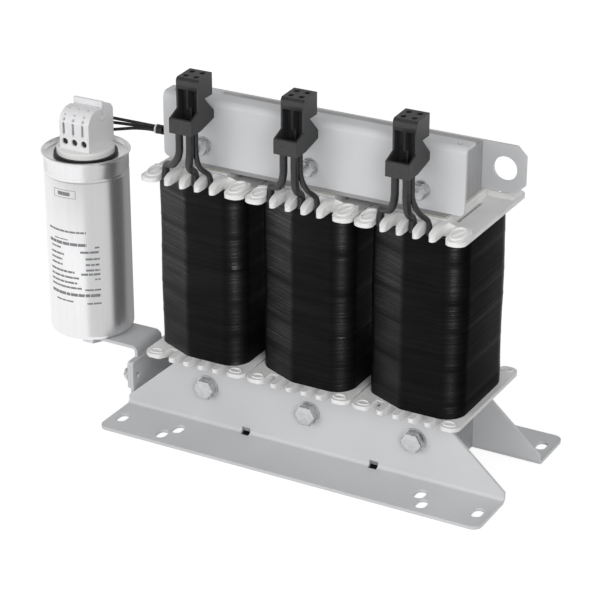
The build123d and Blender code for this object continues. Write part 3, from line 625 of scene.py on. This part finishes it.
print_ink, tree, shader, place = surface("print_ink", (0.2, 0.2, 0.205), 0.5)
smudge = grain(tree, place, 500.0)
tint(tree, shader, smudge, (0.16, 0.16, 0.165), (0.26, 0.26, 0.265))
relief(tree, shader, smudge, 0.01)
can_low, can_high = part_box("capacitor_can")
can_axis = (can_low + can_high) / 2
can_radius = 37.5
ink_under, ink_proud = 0.06, 0.2
word_length, word_gap = (2.0, 5.6), (0.4, 0.7)
first_fold, last_fold, fold_width = -24, 32, 2
random.seed(11)
# The box, as left, right, low and high in millimetres.
strokes = [
    (-10.0, 12.0, 187.0, 187.4),
    (-10.0, 12.0, 194.2, 194.6),
    (-10.0, -9.6, 187.0, 194.6),
    (11.6, 12.0, 187.0, 194.6),
    (-5.5, 6.5, 189.2, 192.6),
]
# The rows, as left end, right end, height, height of the bars and how long they are.
rows = [
    (-19.5, 19.8, 155.4, 1.8, 1.4),
    (-12.0, 3.0, 147.6, 1.0, 1.0),
    (-19.5, 19.8, 143.8, 2.8, 1.8),
    (27.0, 31.0, 141.3, 1.6, 1.0),
    (-17.0, -5.0, 139.0, 1.6, 1.0),
    (14.0, 31.0, 136.9, 2.0, 1.5),
    (-18.0, -2.0, 133.0, 1.8, 1.2),
    (18.5, 31.0, 130.5, 1.8, 1.4),
    (-18.0, -4.0, 128.0, 1.8, 1.2),
    (18.5, 31.0, 125.0, 1.8, 1.4),
    (-18.0, -4.0, 123.0, 1.8, 1.2),
    (18.5, 31.0, 119.8, 1.8, 1.4),
    (-19.0, 8.0, 117.0, 1.9, 1.4),
    (14.0, 31.0, 115.8, 2.0, 1.5),
    (-19.0, 12.0, 111.8, 1.8, 1.5),
    (26.0, 31.0, 111.0, 1.4, 1.0),
    (-19.0, 10.0, 106.8, 1.8, 1.5),
    (-19.0, 14.0, 102.0, 1.8, 1.5),
    (17.0, 31.0, 100.8, 1.6, 1.4),
    (-19.0, 31.0, 95.4, 2.8, 1.8),
    (-13.0, 6.0, 88.6, 1.4, 1.3),
    (18.5, 31.0, 87.6, 1.6, 1.4),
]
for start, stop, height, tall, full in rows:
    across = start
    while across < stop:
        word = random.uniform(*word_length) * full
        strokes.append((across, min(across + word, stop), height - tall / 2, height + tall / 2))
        across += word + random.uniform(*word_gap)
bars = []
for left, right, low, high in strokes:
    bars.append(block("can_print", (left, -ink_under, low), (right, ink_proud, high)))
can_print = joined("can_print", *bars)
edit(can_print)
for fold in range(first_fold, last_fold, fold_width):
    bpy.ops.mesh.select_all(action="SELECT")
    bpy.ops.mesh.bisect(plane_co=(fold * mm, 0, 0), plane_no=(1, 0, 0))
leave_edit()
bend_round(can_print, can_radius * mm)
can_print.data.transform(Matrix.Translation((can_axis.x, can_axis.y - can_radius * mm, 0)))
bpy.ops.object.shade_smooth_by_angle(angle=smooth_angle)
finish(can_print, print_ink, "can_aluminium")

# Seal and base: a ring of black rubber pressed into the can's rim, and a disc of white moulded
# plastic on it that carries the terminal head.
seal_rubber, tree, shader, place = surface("seal_rubber", (0.012, 0.012, 0.012), 0.5)
relief(tree, shader, grain(tree, place, 800.0), 0.05)
finish(eased("capacitor_seal", "sealing_ring", 0.3), seal_rubber, "seal_black", "capacitor_seal")
base_white, tree, shader, place = surface("base_white", (0.82, 0.82, 0.81), 0.35)
relief(tree, shader, grain(tree, place, 800.0), 0.03)
white_base = eased("terminal_base_disc", "white_base", 0.3)
finish(white_base, base_white, "base_white", "terminal_base_disc")

# Terminal head: pale grey moulded plastic with three poles in a row. Each pole has a round wire
# entry with a black disc sunk in it as painted shade, and a groove above it with a dark bar in it.
head_grey, tree, shader, place = surface("head_grey", (0.78, 0.78, 0.79), 0.42)
relief(tree, shader, grain(tree, place, 800.0), 0.04)
three_pole_head = eased("capacitor_terminal_head", "three_pole_head", 0.35)
finish(three_pole_head, head_grey, "head_grey", "capacitor_terminal_head")
pole_pitch, entry_height = 9.7, 7.0
entry_shade_radius, entry_shade_thick, entry_shade_depth = 2.95, 1.6, 2.6
groove_bar_shift, groove_bar_half_width, groove_bar_back, groove_bar_front = -1.0, 0.85, 1.25, 0.85
groove_bar_bottom, groove_bar_top = 13.6, 23.4
head_low, head_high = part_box("capacitor_terminal_head")
front_face, foot_level = head_low.y / mm, head_low.z / mm
head_axis = (head_low.x + head_high.x) / 2 / mm
entry_shades, groove_bars = [], []
# The black disc deep in each entry is painted shade, standing in for the shadow in the hole.
for pole in (-pole_pitch, 0.0, pole_pitch):
    pole_x = head_axis + pole
    bpy.ops.object.select_all(action="DESELECT")
    bpy.ops.mesh.primitive_cylinder_add(
        vertices=32, radius=entry_shade_radius * mm, depth=entry_shade_thick * mm
    )
    entry_shade = bpy.context.object
    edit(entry_shade)
    bpy.ops.mesh.select_all(action="SELECT")
    bpy.ops.transform.rotate(value=math.radians(90), orient_axis="X", center_override=(0, 0, 0))
    entry = Vector((pole_x, front_face + entry_shade_depth, foot_level + entry_height))
    bpy.ops.transform.translate(value=entry * mm)
    leave_edit()
    entry_shades.append(entry_shade)
    # A dark bar is laid at the back of the groove above each entry.
    middle = pole_x + groove_bar_shift
    groove_bars.append(block(
        "bar",
        (middle - groove_bar_half_width, front_face + groove_bar_front, foot_level + groove_bar_bottom),
        (middle + groove_bar_half_width, front_face + groove_bar_back, foot_level + groove_bar_top),
    ))
pole_entry_shades = joined("pole_entry_shades", *entry_shades)
bpy.ops.object.shade_smooth_by_angle(angle=smooth_angle)
finish(pole_entry_shades, seal_rubber, "screw_steel")
finish(joined("pole_groove_bars", *groove_bars), print_ink, "head_grey")


# Studio: a pale floor that runs out of sight and a soft room light. Seen straight or in a
# reflection both are near white, and for the light they throw on the object plain grey.
def seen_straight(tree):
    """1 for what the camera sees straight, in a reflection or through something, else 0."""
    path = tree.nodes.new("ShaderNodeLightPath")
    seen = path.outputs["Is Camera Ray"]
    for kind in ("Is Glossy Ray", "Is Transmission Ray"):
        either = tree.nodes.new("ShaderNodeMath")
        either.operation = "MAXIMUM"
        tree.links.new(seen, either.inputs[0])
        tree.links.new(path.outputs[kind], either.inputs[1])
        seen = either.outputs[0]
    return seen


def seen_or_not(tree, hidden, seen, output):
    """Put one shader out to the camera and to reflections, and the other one to all else."""
    choice = tree.nodes.new("ShaderNodeMixShader")
    tree.links.new(seen_straight(tree), choice.inputs["Fac"])
    tree.links.new(hidden.outputs[0], choice.inputs[1])
    tree.links.new(seen.outputs[0], choice.inputs[2])
    tree.links.new(choice.outputs[0], tree.nodes.new(output).inputs["Surface"])


floor_paper = bpy.data.materials.new("floor_paper")
floor_paper.use_nodes = True
tree = floor_paper.node_tree
tree.nodes.clear()
paper = tree.nodes.new("ShaderNodeBsdfDiffuse")
paper.inputs["Color"].default_value = (0.36, 0.36, 0.36, 1.0)
glow = tree.nodes.new("ShaderNodeEmission")
glow.inputs["Strength"].default_value = 0.82
bright = tree.nodes.new("ShaderNodeAddShader")
tree.links.new(paper.outputs[0], bright.inputs[0])
tree.links.new(glow.outputs[0], bright.inputs[1])
dull = tree.nodes.new("ShaderNodeBsdfDiffuse")
dull.inputs["Color"].default_value = (0.6, 0.6, 0.6, 1.0)
seen_or_not(tree, dull, bright, "ShaderNodeOutputMaterial")
bpy.ops.object.select_all(action="DESELECT")
bpy.ops.mesh.primitive_plane_add(size=16.0, location=(0, 0, -0.2 * mm))
floor = bpy.context.object
floor.name = "studio_floor"
floor.data.materials.append(floor_paper)

room = bpy.data.worlds.new("soft_room")
bpy.context.scene.world = room
room.use_nodes = True
tree = room.node_tree
tree.nodes.clear()
dim = tree.nodes.new("ShaderNodeBackground")
dim.inputs["Strength"].default_value = 0.62
white = tree.nodes.new("ShaderNodeBackground")
white.inputs["Strength"].default_value = 1.0
split = tree.nodes.new("ShaderNodeSeparateXYZ")
tree.links.new(tree.nodes.new("ShaderNodeTexCoord").outputs["Generated"], split.inputs["Vector"])
sky = between(tree, split.outputs["Z"], (1.0, 1.0, 1.0), (0.3, 0.3, 0.3), 0.1, 0.7)
tree.links.new(sky, white.inputs["Color"])
seen_or_not(tree, dim, white, "ShaderNodeOutputWorld")

# Lamps: two wide ones in front light the whole filter. Two more light the windings alone, whose
# black tape shows its threads and laps only in their sheen.
lamp_aim = Vector((0, 0, 0.15))
for name, place, size, power, coils_alone in (
    ("left_lamp", (-0.9, -2.2, 0.9), (1.6, 1.2), 19.0, False),
    ("right_lamp", (1.5, -1.7, 1.0), (0.8, 1.4), 22.0, False),
    ("coil_side_lamp", (-2.2, -0.8, 0.3), (1.0, 0.7), 640.0, True),
    ("coil_strip_lamp", (1.5, -1.55, 0.3), (0.5, 0.7), 560.0, True),
):
    lamp = bpy.data.objects.new(name, bpy.data.lights.new(name, "AREA"))
    bpy.context.scene.collection.objects.link(lamp)
    lamp.data.shape = "RECTANGLE"
    lamp.data.size, lamp.data.size_y = size
    lamp.data.energy = power
    lamp.location = place
    lamp.rotation_euler = (Vector(place) - lamp_aim).to_track_quat("Z", "Y").to_euler()
    if coils_alone:
        lamp.light_linking.receiver_collection = wound
        lamp.visible_diffuse = False
    else:
        lamp.visible_glossy = False

# Cards beside the object, which only reflections see. They glow dimly though they are no lamps:
# painted reflections that darken the far side of the last coil and the shaded side of the can.
for name, start, stop, tone in (
    ("card_corner", (176.0, -140.0), (176.0, 130.0), 0.12),
    ("card_can", (-240.0, 70.0), (-110.0, 70.0), 0.3),
    ("card_can_front", (-154.0, -15.0), (-205.0, -82.0), 0.7),
    ("card_can_side", (-153.0, 60.0), (-153.0, -14.0), 0.1),
):
    card = block(name, (0.0, 0.0, 6.0), (1.0, 1.0, 230.0))
    edit(card)
    pick(card, "faces", lambda c, n: abs(n.z) > 0.5 or abs(n.x) > 0.5 or n.y > 0.5)
    bpy.ops.mesh.delete(type="FACE")
    leave_edit()
    for vertex in card.data.vertices:
        end = stop if vertex.co.x > 0.5 * mm else start
        vertex.co.x, vertex.co.y = end[0] * mm, end[1] * mm
    # Each card's dim glow is a painted reflection, seen in the coil and in the can.
    reflected_glow = bpy.data.materials.new(name)
    reflected_glow.use_nodes = True
    tree = reflected_glow.node_tree
    tree.nodes.clear()
    glow = tree.nodes.new("ShaderNodeEmission")
    glow.inputs["Strength"].default_value = tone
    tree.links.new(glow.outputs[0], tree.nodes.new("ShaderNodeOutputMaterial").inputs["Surface"])
    card.data.materials.append(reflected_glow)
    card.visible_camera = card.visible_diffuse = False
    card.visible_shadow = card.visible_transmission = False

# Under the choke: painted shade, a dark plate laid on the floor between the feet. It shows only
# through the two notches of the front foot and stands in for the shadow there.
under_shade = block("under_shade", (-90.0, -50.0, 0.1), (90.0, -12.0, 0.4))
under_shade.data.materials.append(surface("painted_under_shade", (0.02, 0.02, 0.02), 0.9)[0])

bpy.context.scene.view_settings.view_transform = "Standard"
